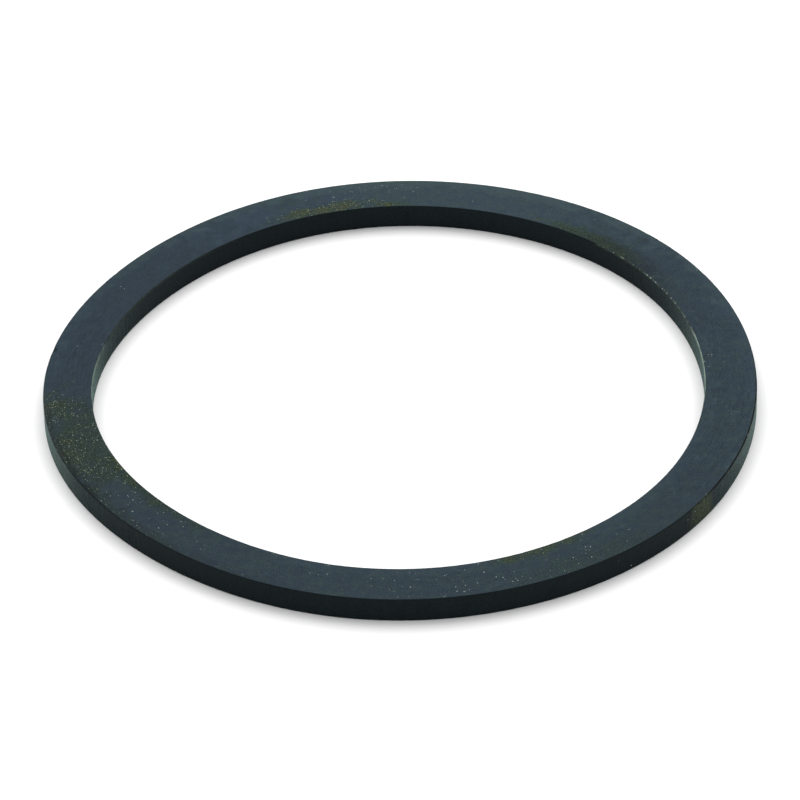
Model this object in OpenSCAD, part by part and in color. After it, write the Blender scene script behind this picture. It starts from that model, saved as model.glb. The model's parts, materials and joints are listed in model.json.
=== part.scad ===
// Flat rubber ring that seals the joint of a sink trap.
// It is one piece, sliced from a cured rubber sleeve: two flat sealing faces, a straight bore,
// a straight outside wall, and four corners that are only just broken.
// It lies flat, with its axis along +Z and its lower face on the plane z = 0.

/* [Ring] */
// Diameter of the bore
bore_d = 77; // [20:0.5:200]
// Width of each sealing face, from the bore to the outside wall
face_w = 6; // [2:0.1:20]
// Thickness from one sealing face to the other
thickness = 3.2; // [1:0.1:12]

/* [Corners] */
// Radius that breaks the two corners of the section at the bore
bore_corner_r = 0.25; // [0.05:0.05:0.45]
// Radius that breaks the two corners of the section at the outside wall
rim_corner_r = 0.25; // [0.05:0.05:0.45]

/* [Hidden] */

// Black rubber under a thin blue-grey bloom
rubber_colour = [0.24, 0.29, 0.32];

bore_r = bore_d / 2;

// A corner is rounded no further than this share of the shorter side of the section
corner_share = 0.45;
corner_limit = corner_share * min(face_w, thickness);
bore_corner = min(bore_corner_r, corner_limit);
rim_corner = min(rim_corner_r, corner_limit);

// Sides of the circles that are turned into the ring
$fn = 180;

// One upright half of the section: a straight wall of height thickness that stands at x = 0 and is
// broken at its top and bottom by a radius, with a flat face that runs along +X for the given width.
module section_half(width, corner) {
    translate([0, corner])
        square([width, thickness - 2 * corner]);
    translate([corner, 0])
        square([width - corner, thickness]);
    for (y = [corner, thickness - corner])
        translate([corner, y])
            circle(r = corner);
}

// The section of the ring, to the right of its axis: the bore side and the rim side, back to back
module section() {
    half_w = face_w / 2;
    translate([bore_r, 0])
        section_half(half_w, bore_corner);
    translate([bore_r + face_w, 0])
        mirror([1, 0])
            section_half(half_w, rim_corner);
}

// The ring itself
module gasket() {
    color(rubber_colour)
        rotate_extrude()
            section();
}

gasket();
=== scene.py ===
"""A sink trap gasket: one flat ring of black rubber, lying on a pale studio floor."""

import json
import math
from collections import namedtuple

import bpy
from mathutils import Matrix, Vector


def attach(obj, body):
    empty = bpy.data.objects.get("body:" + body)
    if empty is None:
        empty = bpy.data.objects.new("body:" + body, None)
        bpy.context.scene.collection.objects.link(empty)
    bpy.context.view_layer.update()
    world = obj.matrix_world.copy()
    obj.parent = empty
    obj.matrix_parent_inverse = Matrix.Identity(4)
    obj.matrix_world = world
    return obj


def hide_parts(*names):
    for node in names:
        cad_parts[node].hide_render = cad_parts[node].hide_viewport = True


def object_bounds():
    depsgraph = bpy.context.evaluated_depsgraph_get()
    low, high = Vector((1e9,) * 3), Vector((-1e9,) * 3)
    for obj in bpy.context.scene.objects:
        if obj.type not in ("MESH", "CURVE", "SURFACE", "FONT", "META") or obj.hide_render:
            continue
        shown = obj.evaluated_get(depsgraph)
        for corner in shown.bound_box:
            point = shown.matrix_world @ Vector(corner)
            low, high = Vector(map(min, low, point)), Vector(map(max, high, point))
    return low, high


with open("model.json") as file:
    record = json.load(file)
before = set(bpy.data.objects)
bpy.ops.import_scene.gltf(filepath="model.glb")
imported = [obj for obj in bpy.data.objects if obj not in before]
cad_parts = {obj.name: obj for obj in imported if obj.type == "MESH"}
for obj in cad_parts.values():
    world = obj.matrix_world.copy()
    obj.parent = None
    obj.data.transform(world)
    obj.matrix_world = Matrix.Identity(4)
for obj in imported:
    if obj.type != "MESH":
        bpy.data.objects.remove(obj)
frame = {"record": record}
cad_low, cad_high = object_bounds()

# The ring: black rubber, cured as a sleeve and sliced on a lathe, so that both flat faces carry
# fine knife lines that run round with it, and the two walls are smoother and blacker.
# It is soft and lies loose on its lower face, a little out of round, with dust and old grime on it.

MM = 0.001

# The face reaches a little further into the bore than its nominal size, and its corners are small.
EXTRA_WIDTH = 0.1 * MM
CORNER_RADIUS = 0.15 * MM
bore_mount = next(m for m in frame["record"]["mounts"] if m["name"] == "bore")
rim_radius = cad_high.x
thickness = cad_high.z
bore_radius = bore_mount["dims"]["r_mm"] * MM
face_width = rim_radius - bore_radius + EXTRA_WIDTH

SECTION_STEP = 0.1 * MM
RING_SEGMENTS = 530

# Knife lines: how many lie between the bore and the rim, how often they break off along the ring, how
# far the lines of one face are shifted from those of the other, how deep they are, and how level the
# surface has to be to carry them.
KNIFE_LINES = 26
KNIFE_BREAKS = 3
KNIFE_SHIFT = 40
KNIFE_DEPTH = 0.012 * MM
FLAT_RISE = (0.95, 1.0)

# Nicks along the corners: cells of noise to the metre, the levels between which a nick sets in, and
# its depth. Then the depth of the one notch, and the degrees that it lies at and reaches.
NICK_SCALE = 2200.0
NICK_RISE = (0.52, 0.75)
NICK_DEPTH = 0.03 * MM
NOTCH_DEPTH = 0.15 * MM
NOTCH_TURN = 169.7
NOTCH_REACH = 1.1

# The ring sags out of round in slow waves, and its face is not quite even in width: how many waves go
# round the ring, how deep they are, and the angle in degrees of a crest.
Wave = namedtuple("Wave", "count depth turn")
RIM_WAVES = (
    Wave(3, 0.275 * MM, -58.3),
    Wave(4, 0.115 * MM, 5.4),
    Wave(5, 0.112 * MM, -32.0),
)
WIDTH_WAVES = (
    Wave(1, 0.195 * MM, 5.1),
    Wave(2, 0.140 * MM, -11.1),
)


class Wire:
    """One output of a node. An expression on wires and numbers adds its Math nodes to the graph."""

    def __init__(self, graph, socket):
        self.graph = graph
        self.socket = socket

    def math(self, operation, *values):
        return self.graph.add("ShaderNodeMath", dict(enumerate(values)), operation=operation)

    def beside(self, name):
        """Another output of the same node."""
        return Wire(self.graph, self.socket.node.outputs[name])

    def __add__(self, other):
        return self.math("ADD", self, other)

    def __radd__(self, other):
        return self.math("ADD", other, self)

    def __sub__(self, other):
        return self.math("SUBTRACT", self, other)

    def __rsub__(self, other):
        return self.math("SUBTRACT", other, self)

    def __mul__(self, other):
        return self.math("MULTIPLY", self, other)

    def __rmul__(self, other):
        return self.math("MULTIPLY", other, self)

    def __truediv__(self, other):
        return self.math("DIVIDE", self, other)

    def __pow__(self, other):
        return self.math("POWER", self, other)

    def __neg__(self):
        return self.math("MULTIPLY", self, -1.0)

    def __abs__(self):
        return self.math("ABSOLUTE", self)

    def __lt__(self, other):
        return self.math("LESS_THAN", self, other)

    def __gt__(self, other):
        return self.math("GREATER_THAN", self, other)


class Graph:
    """A node tree, for a shape or for a material."""

    def __init__(self, tree):
        self.tree = tree

    @staticmethod
    def socket(sockets, name):
        if isinstance(name, int):
            return sockets[name]
        return next(s for s in sockets if s.name == name and s.enabled)

    def add(self, kind, inputs=None, output=0, **settings):
        """Adds a node: its settings first, then the values or the wires of its inputs."""
        node = self.tree.nodes.new(kind)
        for name, value in settings.items():
            setattr(node, name, value)
        for name, value in (inputs or {}).items():
            socket = self.socket(node.inputs, name)
            if isinstance(value, Wire):
                self.tree.links.new(value.socket, socket)
            else:
                socket.default_value = value
        return Wire(self, self.socket(node.outputs, output)) if node.outputs else node

    def vector(self, operation, first, second=(0, 0, 0), **inputs):
        """A Vector Math node."""
        values = {0: first, 1: second} | inputs
        return self.add("ShaderNodeVectorMath", values, operation=operation)

    def combine(self, x=0.0, y=0.0, z=0.0):
        return self.add("ShaderNodeCombineXYZ", {"X": x, "Y": y, "Z": z})

    def separate(self, vector):
        parts = self.add("ShaderNodeSeparateXYZ", {"Vector": vector})
        return [parts.beside(axis) for axis in "XYZ"]

    def smooth(self, value, low, high):
        """An even rise from 0 where the value is at low to 1 where it is at high."""
        limits = {"Value": value, "From Min": low, "From Max": high}
        return self.add("ShaderNodeMapRange", limits, interpolation_type="SMOOTHSTEP")

    def noise(self, vector, scale, detail=2.0, roughness=0.5):
        values = {"Vector": vector, "Scale": scale, "Detail": detail, "Roughness": roughness}
        return self.add("ShaderNodeTexNoise", values)

    def mix(self, factor, first, second):
        """Blends two colours."""
        first, second = (c if isinstance(c, Wire) else (*c, 1) for c in (first, second))
        values = {"Factor": factor, "A": first, "B": second}
        return self.add("ShaderNodeMix", values, "Result", data_type="RGBA")

    def around(self, place):
        """The angle of a place round the ring, in degrees, and its direction from the axis."""
        x, y, _ = self.separate(place)
        turn = y.math("ARCTAN2", y, x) * math.degrees(1)
        return turn, self.vector("NORMALIZE", self.combine(x, y))

    def away(self, turn, middle):
        """How many degrees an angle lies from another, with its sign."""
        return turn.math("WRAP", turn - middle, 180.0, -180.0)


def swept_ring_tree(sizes):
    """The section of the ring, swept round a circle that is a little out of round."""
    tree = bpy.data.node_groups.new("swept_ring", "GeometryNodeTree")
    tree.interface.new_socket("Geometry", in_out="OUTPUT", socket_type="NodeSocketGeometry")
    for name, value in sizes.items():
        kind = {float: "Float", int: "Int"}.get(type(value), "Material")
        tree.interface.new_socket(name, in_out="INPUT", socket_type=f"NodeSocket{kind}")
    graph = Graph(tree)
    inputs = tree.nodes.new("NodeGroupInput")
    size = {s.name: Wire(graph, s) for s in inputs.outputs if s.name}
    place = graph.add("GeometryNodeInputPosition")
    turn, outwards = graph.around(place)

    # The section: a rectangle whose corners are drawn in onto small arcs.
    width = size["Face width"]
    height = size["Thickness"]
    corner = size["Corner radius"]
    section = graph.add("GeometryNodeCurvePrimitiveQuadrilateral", {"Width": width, "Height": height})
    section = graph.add("GeometryNodeResampleCurve", {"Curve": section, "Count": size["Section points"]})
    core = graph.combine(width / 2 - corner, height / 2 - corner)
    core_place = graph.vector("MINIMUM", place, core)
    core_place = graph.vector("MAXIMUM", core_place, graph.vector("SCALE", core, Scale=-1.0))
    off_core = graph.vector("NORMALIZE", graph.vector("SUBTRACT", place, core_place))
    rounded = graph.vector("ADD", core_place, graph.vector("SCALE", off_core, Scale=corner))
    across = graph.separate(place)[0] / width + 0.5
    section = graph.add(
        "GeometryNodeStoreNamedAttribute",
        {"Geometry": section, "Name": "across", "Value": across},
    )
    section = graph.add("GeometryNodeSetPosition", {"Geometry": section, "Position": rounded})

    # The path: a circle that dips inwards between the crests of its waves.
    middle = size["Rim radius"] - width / 2
    path = graph.add("GeometryNodeCurvePrimitiveCircle", {"Resolution": size["Segments"], "Radius": middle})
    dip = 0
    for wave in RIM_WAVES:
        phase = wave.count * math.radians(1) * (turn - wave.turn)
        dip = dip + size[f"Rim wave {wave.count}"] * (1 - turn.math("COSINE", phase))
    path = graph.add(
        "GeometryNodeSetPosition",
        {"Geometry": path, "Offset": graph.vector("SCALE", outwards, Scale=-dip)},
    )
    ring = graph.add("GeometryNodeCurveToMesh", {"Curve": path, "Profile Curve": section})

    # The bore: drawn in where the face is wide, and let out where it is narrow.
    across = graph.add("GeometryNodeInputNamedAttribute", {"Name": "across"})
    extra = 0
    for wave in WIDTH_WAVES:
        phase = wave.count * math.radians(1) * (turn - wave.turn)
        extra = extra + size[f"Width wave {wave.count}"] * turn.math("COSINE", phase)
    inwards = graph.vector("SCALE", outwards, Scale=extra * (across - 1))
    lift = graph.combine(z=height / 2)
    ring = graph.add(
        "GeometryNodeSetPosition",
        {"Geometry": ring, "Offset": graph.vector("ADD", inwards, lift)},
    )

    # The surface: knife lines on the flat faces, nicks along the corners, one notch in the upper rim.
    normal = graph.add("GeometryNodeInputNormal")
    upright = graph.separate(normal)[2]
    ahead, aside, _ = graph.separate(outwards)
    column = across * KNIFE_LINES + KNIFE_SHIFT * upright
    lines = graph.noise(graph.combine(column, ahead * KNIFE_BREAKS, aside * KNIFE_BREAKS), 1.0)
    flat = graph.smooth(abs(upright), *FLAT_RISE)
    # Full where the surface leans by 45 degrees, and nothing on the faces and the walls.
    edge = 4 * upright * upright * (1 - upright * upright)
    nick = graph.smooth(graph.noise(place, NICK_SCALE), *NICK_RISE) * edge
    notch = graph.smooth(abs(graph.away(turn, NOTCH_TURN)), NOTCH_REACH, 0.0) * edge
    upper_rim = (upright > 0) * (across > 0.5)
    depth = (
        size["Knife depth"] * lines * flat
        + size["Nick depth"] * nick
        + size["Notch depth"] * notch * upper_rim
    )
    ring = graph.add(
        "GeometryNodeSetPosition",
        {"Geometry": ring, "Offset": graph.vector("SCALE", normal, Scale=-depth)},
    )
    ring = graph.add("GeometryNodeSetShadeSmooth", {"Geometry": ring})
    ring = graph.add("GeometryNodeRealizeInstances", {"Geometry": ring})
    ring = graph.add("GeometryNodeSetMaterial", {"Geometry": ring, "Material": size["Rubber"]})
    graph.add("NodeGroupOutput", {"Geometry": ring})
    return tree


# Colours, as linear red, green and blue.
BLOOM_BLUE = (0.0168, 0.0276, 0.0394)
BLOOM_GREEN = (0.0183, 0.0308, 0.0352)
BARE_RUBBER = (0.0055, 0.0092, 0.0109)
GRIME_FILM = (0.0150, 0.0268, 0.0182)
GRIME_OLIVE = (0.0435, 0.0525, 0.0215)
DUST_COLOUR = (0.7300, 0.8000, 0.5800)
GRIT_COLOUR = (0.4800, 0.5600, 0.5400)
EDGE_COLOUR = (0.2400, 0.3100, 0.2500)
# Pale wall patches: partly dust, partly a painted highlight at the ends of the walls.
WALL_DUST_AND_SHEEN = (0.1100, 0.1500, 0.1200)
# Painted shadow: the near black of the dark line along the upper rim corner.
RIM_SHADOW_COLOUR = (0.0010, 0.0015, 0.0015)

# Noises over the rubber, in cells to the metre. The streaks run up and down the walls, so they have
# fewer cells that way. The beads along an edge, and the breaks in the knife lines that the bloom
# shows, follow the direction from the axis, so they are counted to the length of a radius.
BROAD_SCALE = 120.0
RAGGED_SCALE = 420.0
MOTTLE_SCALE = 900.0
GRAIN_SCALE = 6000.0
STREAK_SCALE = (1500, 1500, 300)
BEAD_SCALE = 140.0
LINE_BREAKS = 22

# The levels between which a noise turns into a mark.
GREEN_RISE = (0.3, 0.7)
FILM_RISE = (0.25, 0.75)
OLIVE_RISE = (0.78, 1.02)
SMEAR_RISE = (0.52, 0.88)
WALL_DUST_AND_SHEEN_RISE = (0.42, 0.72)
BEAD_RISE = (0.52, 0.66)
RIM_SHADOW_RISE = (0.25, 0.45)

# Where the bloomed face gives way to the walls, as shares of its width, and how high up the edges
# begin, as shares of the thickness. A bare spot of full strength has no bloom left.
BORE_FADE = 0.02
RIM_FADE = 0.025
RIM_SHADOW_ACROSS = (0.965, 0.98)
BARE_FULL = 0.9
EDGE_FROM = 0.85
UPPER_EDGE = (0.94, 0.975)

# Grains of dust and of grit: how far apart they lie, their radius, and the share of them that is on
# clean rubber too. Then how strongly the faintest of them shows.
DUST_PITCH = 0.24 * MM
DUST_RADIUS = 0.045 * MM
DUST_ANYWHERE = 0.004
GRIT_PITCH = 0.8 * MM
GRIT_RADIUS = 0.08 * MM
GRIT_ANYWHERE = 0.012
FAINTEST_GRAIN = 0.3

# How much the marks add to the thickness of the bloom, which is about 1.
SCRATCH_BLOOM = 0.9
KNIFE_BLOOM = 0.6
MOTTLE_BLOOM = 0.4
GRAIN_BLOOM = 1.4
GRAIN_SPOT_BLOOM = 0.9
KNIFE_LEAST = 0.3

# How much one noise or spot leans on another in the tint, the grime, the smear and the pale wall patches of
# dust and painted highlight, and how far the marks on the walls are frayed.
BROAD_TINT = 0.5
OLIVE_MOTTLE = 0.3
OLIVE_SPREAD = 0.45
SMEAR_STREAK = 0.4
SMEAR_FRAY = 0.4
WALL_DUST_AND_SHEEN_STREAK = 0.3
WALL_DUST_AND_SHEEN_FRAY = 0.5

# The shade of the walls, from streaks and grain less a fixed part, so that it is about 1.
WALL_STREAK = 0.8
WALL_GRAIN = 2.0
WALL_LESS = 0.4

# How the rubber takes the light: a faint gloss, a sheen that shows where it is seen edge on, and what
# makes it rougher and gives it relief.
GLOSS = 0.046
ROUGHNESS = 0.55
GRAIN_ROUGHNESS = 0.2
STREAK_ROUGHNESS = 0.3
DUST_ROUGHNESS = 0.2
GRAIN_RELIEF = 0.6
KNIFE_RELIEF = 0.8
WALL_STREAK_RELIEF = 4.0
WALL_GRAIN_RELIEF = 5.0
SHEEN = 0.20
SHEEN_ROUGHNESS = 0.26
SHEEN_TINT = (0.50, 1.0, 0.90, 1)
BUMP_STRENGTH = 0.6
BUMP_DEPTH = 0.02 * MM

# A spot on the ring: the degrees it lies at and reaches to each side, the share of the way from the
# bore to the rim that it lies at and spreads to each side, and how strong it is. A strength below 0
# clears what is there. A spot is full up to its core and gone at its end, as shares of its reach.
Spot = namedtuple("Spot", "turn reach across spread strength")
SPOT_CORE = 0.45
SPOT_END = 1.15
# Thicker and thinner bloom, and painted light: the face is lighter towards the back of the ring and along
# its far edges, and darker along its near edges.
BLOOM_AND_LIGHT_SPOTS = (
    Spot(82, 48, 0.5, 1.5, 0.34),
    Spot(10, 40, 0.8, 0.8, 0.12),
    Spot(275, 45, 0.5, 1.5, 0.07),
    Spot(95, 130, 1.0, 0.32, 0.26),
    Spot(305, 75, 0.0, 0.35, 0.19),
    Spot(215, 45, 1.0, 0.30, -0.19),
    Spot(42, 15, 0.08, 0.38, -0.36),
)
BLUE_SPOTS = (
    Spot(152, 50, 0.5, 1.5, 0.3),
    Spot(110, 95, 1.0, 0.32, -0.3),
)
GRAIN_SPOTS = (
    Spot(5, 40, 0.5, 1.5, 1.0),
    Spot(75, 45, 0.5, 1.5, 0.5),
    Spot(272, 42, 0.5, 1.5, 0.8),
    Spot(196, 20, 0.5, 1.5, 0.8),
)
FILM_SPOTS = (
    Spot(104, 13, 0.14, 0.26, 0.7),
    Spot(91, 6, 0.06, 0.14, 0.5),
    Spot(50, 13, 0.10, 0.28, 0.8),
    Spot(196, 16, 0.5, 1.0, 0.75),
    Spot(215, 17, 0.04, 0.24, 0.7),
    Spot(294, 13, 0.06, 0.26, 0.6),
    Spot(302, 16, 0.85, 0.35, 0.35),
    Spot(86, 10, 1.0, 0.12, 0.4),
    Spot(217, 20, 0.95, 0.22, 0.3),
    Spot(191, 2.5, 0.78, 0.22, -0.4),
)
OLIVE_SPOTS = (
    Spot(104, 12, 0.15, 0.28, 0.85),
    Spot(91, 6, 0.06, 0.16, 0.5),
    Spot(49, 11, 0.08, 0.22, 0.5),
    Spot(62, 1.6, 0.12, 0.16, 0.6),
    Spot(196, 15, 0.5, 1.0, 0.40),
    Spot(199, 7, 0.78, 0.24, 0.26),
    Spot(187, 3, 0.75, 0.30, 0.2),
    Spot(191, 2.5, 0.78, 0.22, -0.3),
    Spot(215, 17, 0.04, 0.20, 0.55),
    Spot(294, 13, 0.06, 0.26, 0.7),
)
DUST_SPOTS = (
    Spot(196, 15, 0.5, 1.3, 0.52),
    Spot(199, 7, 0.78, 0.24, 0.3),
    Spot(187, 3.5, 0.75, 0.28, 0.3),
    Spot(191, 2.5, 0.78, 0.22, -0.4),
    Spot(219, 15, 0.5, 1.3, 0.14),
    Spot(286, 28, 0.5, 1.3, 0.1),
    Spot(98, 14, 0.4, 0.9, 0.15),
    Spot(104, 12, 0.15, 0.28, 0.6),
    Spot(4, 3, 0.10, 0.15, 0.4),
)
GRIT_SPOTS = (
    Spot(199, 17, 0.5, 1.3, 0.5),
    Spot(220, 12, 0.5, 1.3, 0.45),
    Spot(284, 26, 0.5, 1.3, 0.5),
    Spot(98, 14, 0.5, 0.9, 0.5),
)
WALL_GRIT_SPOTS = (
    Spot(312, 22, 1.0, 0.03, 0.25),
    Spot(346, 12, 1.0, 0.03, 0.5),
    Spot(190, 8, 1.0, 0.03, 0.3),
)
KNIFE_SPOTS = (
    Spot(352, 34, 0.5, 1.3, 1.0),
    Spot(170, 18, 0.5, 1.3, 1.0),
    Spot(275, 40, 0.5, 1.3, 0.5),
)
BARE_SPOTS = (
    Spot(200, 18, 1.0, 0.16, 0.62),
    Spot(NOTCH_TURN, NOTCH_REACH, 1.0, 0.10, 0.9),
)
EDGE_SPOTS = (
    Spot(2, 15, 0.0, 0.06, 1.6),
    Spot(26, 22, 0.0, 0.06, 0.2),
    Spot(152, 26, 0.0, 0.06, 0.1),
    Spot(177, 9, 0.0, 0.06, 1.0),
)
BEAD_SPOTS = (
    Spot(23, 22, 0.0, 0.06, 0.8),
    Spot(160, 22, 0.0, 0.06, 0.08),
    Spot(345, 16, 1.0, 0.06, 0.7),
)
# Pale patches at the left and right ends of the walls, where they are seen edge on: partly dust, partly a
# painted highlight.
WALL_DUST_AND_SHEEN_SPOTS = (
    Spot(188, 18, 1.0, 0.1, 0.45),
    Spot(354, 20, 1.0, 0.1, 0.5),
    Spot(182, 15, 0.0, 0.1, 0.6),
)
# A painted shadow line along the upper corner of the rim, at its right and left ends.
RIM_SHADOW_SPOTS = (
    Spot(342, 22, 1.0, 0.1, 1.0),
    Spot(203, 14, 1.0, 0.1, 0.35),
)
SMEAR_SPOTS = (Spot(323.5, 3.2, 1.0, 0.1, 1.0),)

# The marks of the upper face are on the lower one too, further round by these degrees.
LOWER_TURN = 137

# A scratch across the face: the angle of its middle, how many degrees it leans over the width of the
# face, and the shares of the way from the bore to the rim at which it starts and ends.
Scratch = namedtuple("Scratch", "turn lean start end")
SCRATCHES = (
    Scratch(348.2, -1, 0.44, 0.88),
    Scratch(322.5, -11, 0.29, 0.58),
)
SCRATCH_REACH = 0.2


def cover(graph, turn, across, ragged, spots):
    """How strongly the spots cover each point. The ragged noise frays their outlines."""
    total = 0
    for spot in spots:
        along = graph.away(turn, spot.turn) / spot.reach
        sideways = (across - spot.across) / spot.spread
        away = (along * along + sideways * sideways) ** 0.5 + ragged
        total = total + spot.strength * graph.smooth(away, SPOT_END, SPOT_CORE)
    return total


def scratched(graph, turn, across):
    """How deep the scratches are at each point."""
    total = 0
    for scratch in SCRATCHES:
        middle = (scratch.start + scratch.end) / 2
        aside = graph.away(turn, scratch.turn + scratch.lean * (across - middle))
        along = graph.smooth(abs(across - middle), (scratch.end - scratch.start) / 2, 0.0)
        total = total + along * graph.smooth(abs(aside), SCRATCH_REACH, 0.0)
    return total


def specks(graph, place, pitch, radius, amount):
    """Round specks, up to one in each cell of the given pitch, where the amount allows."""
    cells = graph.add("ShaderNodeTexVoronoi", {"Vector": place, "Scale": 1 / pitch}, "Distance")
    chance, strength, _ = graph.separate(cells.beside("Color"))
    reach = radius / pitch
    brightness = FAINTEST_GRAIN + (1 - FAINTEST_GRAIN) * strength
    return (chance < amount) * graph.smooth(cells, reach, reach / 2) * brightness


def rubber_material():
    """Black rubber under a blue-grey bloom on the cut faces, with olive grime, dust and pale grit, and some
    painted light and shade.
    """
    material = bpy.data.materials.new("rubber")
    material.use_nodes = True
    material.node_tree.nodes.clear()
    graph = Graph(material.node_tree)
    place = graph.add("ShaderNodeTexCoord", output="Object")
    height = graph.separate(place)[2]
    across = graph.add("ShaderNodeAttribute", output="Fac", attribute_name="across")
    wall_turn, outwards = graph.around(place)
    turn = wall_turn + LOWER_TURN * (height < thickness / 2)

    broad = graph.noise(place, BROAD_SCALE, detail=3.0)
    mottle = graph.noise(place, MOTTLE_SCALE, detail=3.0)
    grain = graph.noise(place, GRAIN_SCALE)
    streak = graph.noise(graph.vector("MULTIPLY", place, STREAK_SCALE), 1.0, detail=3.0)
    ragged = 2.0 * (graph.noise(place, RAGGED_SCALE, detail=4.0, roughness=0.6) - 0.5)

    def spread(spots, at=turn):
        return cover(graph, at, across, ragged, spots)

    face = graph.smooth(across, 0.0, BORE_FADE) * graph.smooth(1 - across, 0.0, RIM_FADE)
    face = face * graph.smooth(spread(BARE_SPOTS), BARE_FULL, 0.0)

    # The faces: bloom that is grainy, and thicker on the knife lines and in the scratches, then grime.
    ahead, aside, _ = graph.separate(outwards)
    lines = graph.combine(across * KNIFE_LINES, ahead * LINE_BREAKS, aside * LINE_BREAKS)
    knife = (graph.noise(lines, 1.0) - 0.5) * (KNIFE_LEAST + spread(KNIFE_SPOTS))
    green = graph.smooth(mottle + BROAD_TINT * (broad - 0.5) - spread(BLUE_SPOTS), *GREEN_RISE)
    bloom = graph.mix(green, BLOOM_BLUE, BLOOM_GREEN)
    scratch = scratched(graph, turn, across)
    # Painted light with the bloom: lighter towards the back and along the far edges of the face, darker
    # along its near edges.
    bloom_and_light = 1 + spread(BLOOM_AND_LIGHT_SPOTS)
    bloom_depth = bloom_and_light + SCRATCH_BLOOM * scratch + KNIFE_BLOOM * knife + MOTTLE_BLOOM * (mottle - 0.5)
    grain_bloom = GRAIN_BLOOM + GRAIN_SPOT_BLOOM * spread(GRAIN_SPOTS)
    bloom_depth = bloom_depth + grain_bloom * (grain - 0.5)
    bloom = graph.vector("SCALE", bloom, Scale=bloom_depth)
    film_depth = 2 * bloom_and_light * graph.smooth(grain, *FILM_RISE)
    film_colour = graph.vector("SCALE", GRIME_FILM, Scale=film_depth)
    face_colour = graph.mix(spread(FILM_SPOTS) * (0.5 + mottle), bloom, film_colour)
    olive = grain + OLIVE_MOTTLE * (mottle - 0.5) + OLIVE_SPREAD * spread(OLIVE_SPOTS)
    face_colour = graph.mix(graph.smooth(olive, *OLIVE_RISE), face_colour, GRIME_OLIVE)

    # The walls: bare streaky rubber, one smear of grime, and pale patches at their ends that are partly
    # dust and partly a painted highlight where the walls are seen edge on.
    wall_shade = WALL_STREAK * streak + WALL_GRAIN * grain - WALL_LESS
    wall_colour = graph.vector("SCALE", BARE_RUBBER, Scale=wall_shade)
    smear = cover(graph, wall_turn, across, SMEAR_FRAY * ragged, SMEAR_SPOTS)
    smear = smear * graph.smooth(grain + SMEAR_STREAK * streak, *SMEAR_RISE)
    wall_colour = graph.mix(smear, wall_colour, GRIME_OLIVE)
    wall_dust_and_sheen = cover(graph, wall_turn, across, WALL_DUST_AND_SHEEN_FRAY * ragged, WALL_DUST_AND_SHEEN_SPOTS)
    wall_dust_and_sheen = wall_dust_and_sheen * graph.smooth(grain + WALL_DUST_AND_SHEEN_STREAK * (streak - 0.5), *WALL_DUST_AND_SHEEN_RISE)
    wall_colour = graph.mix(wall_dust_and_sheen, wall_colour, WALL_DUST_AND_SHEEN)
    colour = graph.mix(face, wall_colour, face_colour)

    # The edges: a pale line and beads along the upper ones, strongest near the left and right ends, and a
    # painted shadow line along the upper rim corner.
    upper_edge = graph.smooth(height, *(share * thickness for share in UPPER_EDGE))
    edge = spread(EDGE_SPOTS) * graph.smooth(height, EDGE_FROM * thickness, thickness) * mottle
    bead = graph.smooth(graph.noise(outwards, BEAD_SCALE), *BEAD_RISE)
    beads = spread(BEAD_SPOTS) * upper_edge * bead
    colour = graph.mix((edge + beads) * (1 - face), colour, EDGE_COLOUR)
    # Painted shadow along the upper rim corner.
    rim_shadow = spread(RIM_SHADOW_SPOTS) * upper_edge * graph.smooth(across, *RIM_SHADOW_ACROSS)
    colour = graph.mix(rim_shadow * graph.smooth(mottle, *RIM_SHADOW_RISE), colour, RIM_SHADOW_COLOUR)

    # What lies on the rubber: fine dust, and coarser grit that is on the outside wall too.
    dust_amount = face * (DUST_ANYWHERE + spread(DUST_SPOTS))
    dust = specks(graph, place, DUST_PITCH, DUST_RADIUS, dust_amount)
    colour = graph.mix(dust, colour, DUST_COLOUR)
    grit_amount = face * (GRIT_ANYWHERE + spread(GRIT_SPOTS))
    grit_amount = grit_amount + (1 - face) * spread(WALL_GRIT_SPOTS, wall_turn)
    grit = specks(graph, place, GRIT_PITCH, GRIT_RADIUS, grit_amount)
    colour = graph.mix(grit, colour, GRIT_COLOUR)

    # The gloss and the fine relief.
    roughness = ROUGHNESS + GRAIN_ROUGHNESS * (grain - 0.5) + STREAK_ROUGHNESS * (streak - 0.5)
    roughness = roughness + DUST_ROUGHNESS * dust
    wall_relief = WALL_STREAK_RELIEF * streak + WALL_GRAIN_RELIEF * grain
    relief = GRAIN_RELIEF * grain + KNIFE_RELIEF * knife * face + wall_relief * (1 - face) + grit - scratch
    bump = graph.add(
        "ShaderNodeBump",
        {"Strength": BUMP_STRENGTH, "Distance": BUMP_DEPTH, "Height": relief},
    )
    shader = graph.add(
        "ShaderNodeBsdfPrincipled",
        {
            "Base Color": colour,
            "Roughness": roughness,
            "Normal": bump,
            "Specular IOR Level": GLOSS,
            "Sheen Weight": SHEEN,
            "Sheen Roughness": SHEEN_ROUGHNESS,
            "Sheen Tint": SHEEN_TINT,
        },
    )
    graph.add("ShaderNodeOutputMaterial", {"Surface": shader})
    return material


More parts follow.
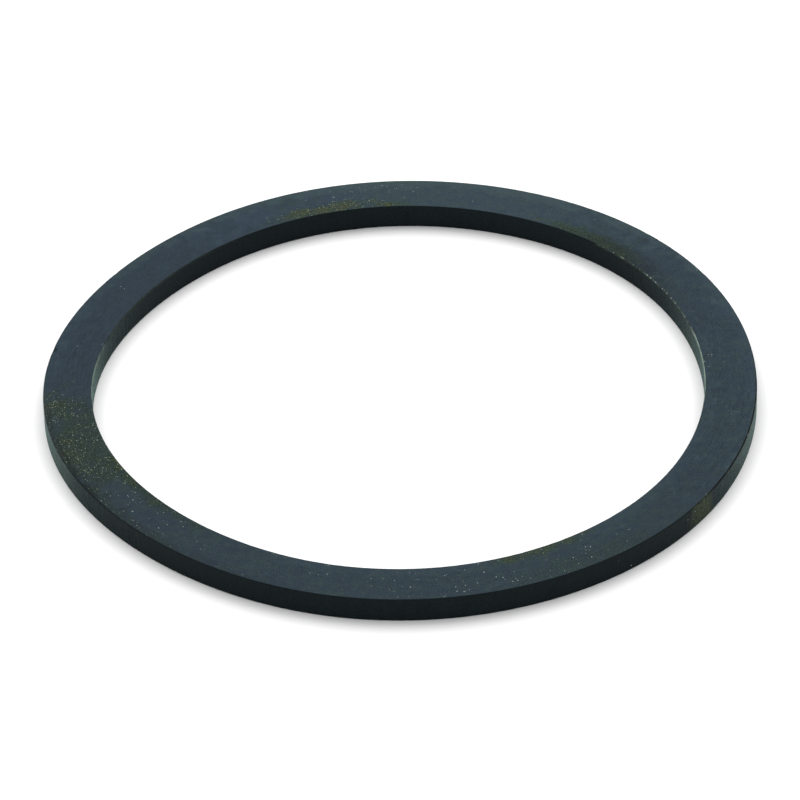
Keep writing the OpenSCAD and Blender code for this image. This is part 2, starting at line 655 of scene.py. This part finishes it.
def gasket_ring():
    """The finished ring as a plain mesh."""
    sizes = {
        "Rim radius": rim_radius,
        "Face width": face_width,
        "Thickness": thickness,
        "Corner radius": CORNER_RADIUS,
        "Section points": round(2 * (face_width + thickness) / SECTION_STEP),
        "Segments": RING_SEGMENTS,
        "Knife depth": KNIFE_DEPTH,
        "Nick depth": NICK_DEPTH,
        "Notch depth": NOTCH_DEPTH,
        "Rubber": rubber_material(),
    }
    sizes |= {f"Rim wave {wave.count}": wave.depth for wave in RIM_WAVES}
    sizes |= {f"Width wave {wave.count}": wave.depth for wave in WIDTH_WAVES}
    tree = swept_ring_tree(sizes)
    ring = bpy.data.objects.new("rubber_ring", bpy.data.meshes.new("ring_blank"))
    bpy.context.scene.collection.objects.link(ring)
    modifier = ring.modifiers.new("swept_ring", "NODES")
    modifier.node_group = tree
    for item in tree.interface.items_tree:
        if item.in_out == "INPUT":
            modifier[item.identifier] = sizes[item.name]
    evaluated = ring.evaluated_get(bpy.context.evaluated_depsgraph_get())
    ring.data = bpy.data.meshes.new_from_object(evaluated)
    ring.modifiers.clear()
    ring.data.name = "rubber_ring"
    return ring


ring = gasket_ring()
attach(ring, "root")
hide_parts("gasket")

# The floor: a plain pale sheet, wide enough to fill every view.
# The ring rests on it, and it is no part of the object.

FLOOR_SIDE = 24.0
FLOOR_DROP = 0.02 * MM
FLOOR_COLOUR = (0.9, 0.9, 0.9, 1)
FLOOR_ROUGHNESS = 0.9
FLOOR_GLOSS = 0.1

floor_mesh = bpy.data.meshes.new("floor")
half = FLOOR_SIDE / 2
corners = [(-half, -half), (half, -half), (half, half), (-half, half)]
floor_mesh.from_pydata([(x, y, -FLOOR_DROP) for x, y in corners], [], [(0, 1, 2, 3)])
floor = bpy.data.objects.new("floor", floor_mesh)
bpy.context.scene.collection.objects.link(floor)
floor_material = bpy.data.materials.new("floor")
floor_material.use_nodes = True
floor_shader = floor_material.node_tree.nodes["Principled BSDF"]
floor_shader.inputs["Base Color"].default_value = FLOOR_COLOUR
floor_shader.inputs["Roughness"].default_value = FLOOR_ROUGHNESS
floor_shader.inputs["Specular IOR Level"].default_value = FLOOR_GLOSS
floor_mesh.materials.append(floor_material)

# The light: a wide softbox above and behind the ring, in an even pale room.
# Neither shows an edge of its own in the rubber.

ROOM_WHITE = (1, 1, 1, 1)
ROOM_STRENGTH = 0.80
SOFTBOX_WIDTH = 2.4
SOFTBOX_DEPTH = 1.6
SOFTBOX_POWER = 34.0
SOFTBOX_PLACE = Vector((0, 0.9, 1.6))

world = bpy.data.worlds.new("studio")
world.use_nodes = True
room = world.node_tree.nodes["Background"]
room.inputs["Color"].default_value = ROOM_WHITE
room.inputs["Strength"].default_value = ROOM_STRENGTH
bpy.context.scene.world = world

softbox_data = bpy.data.lights.new("softbox", "AREA")
softbox_data.shape = "RECTANGLE"
softbox_data.size = SOFTBOX_WIDTH
softbox_data.size_y = SOFTBOX_DEPTH
softbox_data.energy = SOFTBOX_POWER
softbox = bpy.data.objects.new("softbox", softbox_data)
softbox.location = SOFTBOX_PLACE
softbox.rotation_euler = (-SOFTBOX_PLACE).to_track_quat("-Z", "Y").to_euler()
softbox.visible_camera = False
bpy.context.scene.collection.objects.link(softbox)

# The camera: a long lens, about 36 degrees above the floor, turned a little about its own axis.
# The ring's middle lies a little to the right of the picture's middle, and above it.

CAMERA_RISE = math.radians(36.12)
CAMERA_ROLL = math.radians(-1.346)
CAMERA_DISTANCE = 0.6567
LENS = 238.55
RING_RIGHT = 0.380 * MM
RING_UP = 1.360 * MM

backwards = Vector((0, -math.cos(CAMERA_RISE), math.sin(CAMERA_RISE)))
turned = (-backwards).to_track_quat("-Z", "Y").to_matrix() @ Matrix.Rotation(CAMERA_ROLL, 3, "Z")
ring_middle = Vector((0, 0, thickness / 2))
camera_data = bpy.data.cameras.new("camera")
camera_data.lens = LENS
camera = bpy.data.objects.new("camera", camera_data)
camera.rotation_euler = turned.to_euler()
camera.location = ring_middle + turned @ Vector((-RING_RIGHT, -RING_UP, CAMERA_DISTANCE))
bpy.context.scene.collection.objects.link(camera)
bpy.context.scene.camera = camera
bpy.context.scene.view_settings.view_transform = "Standard"
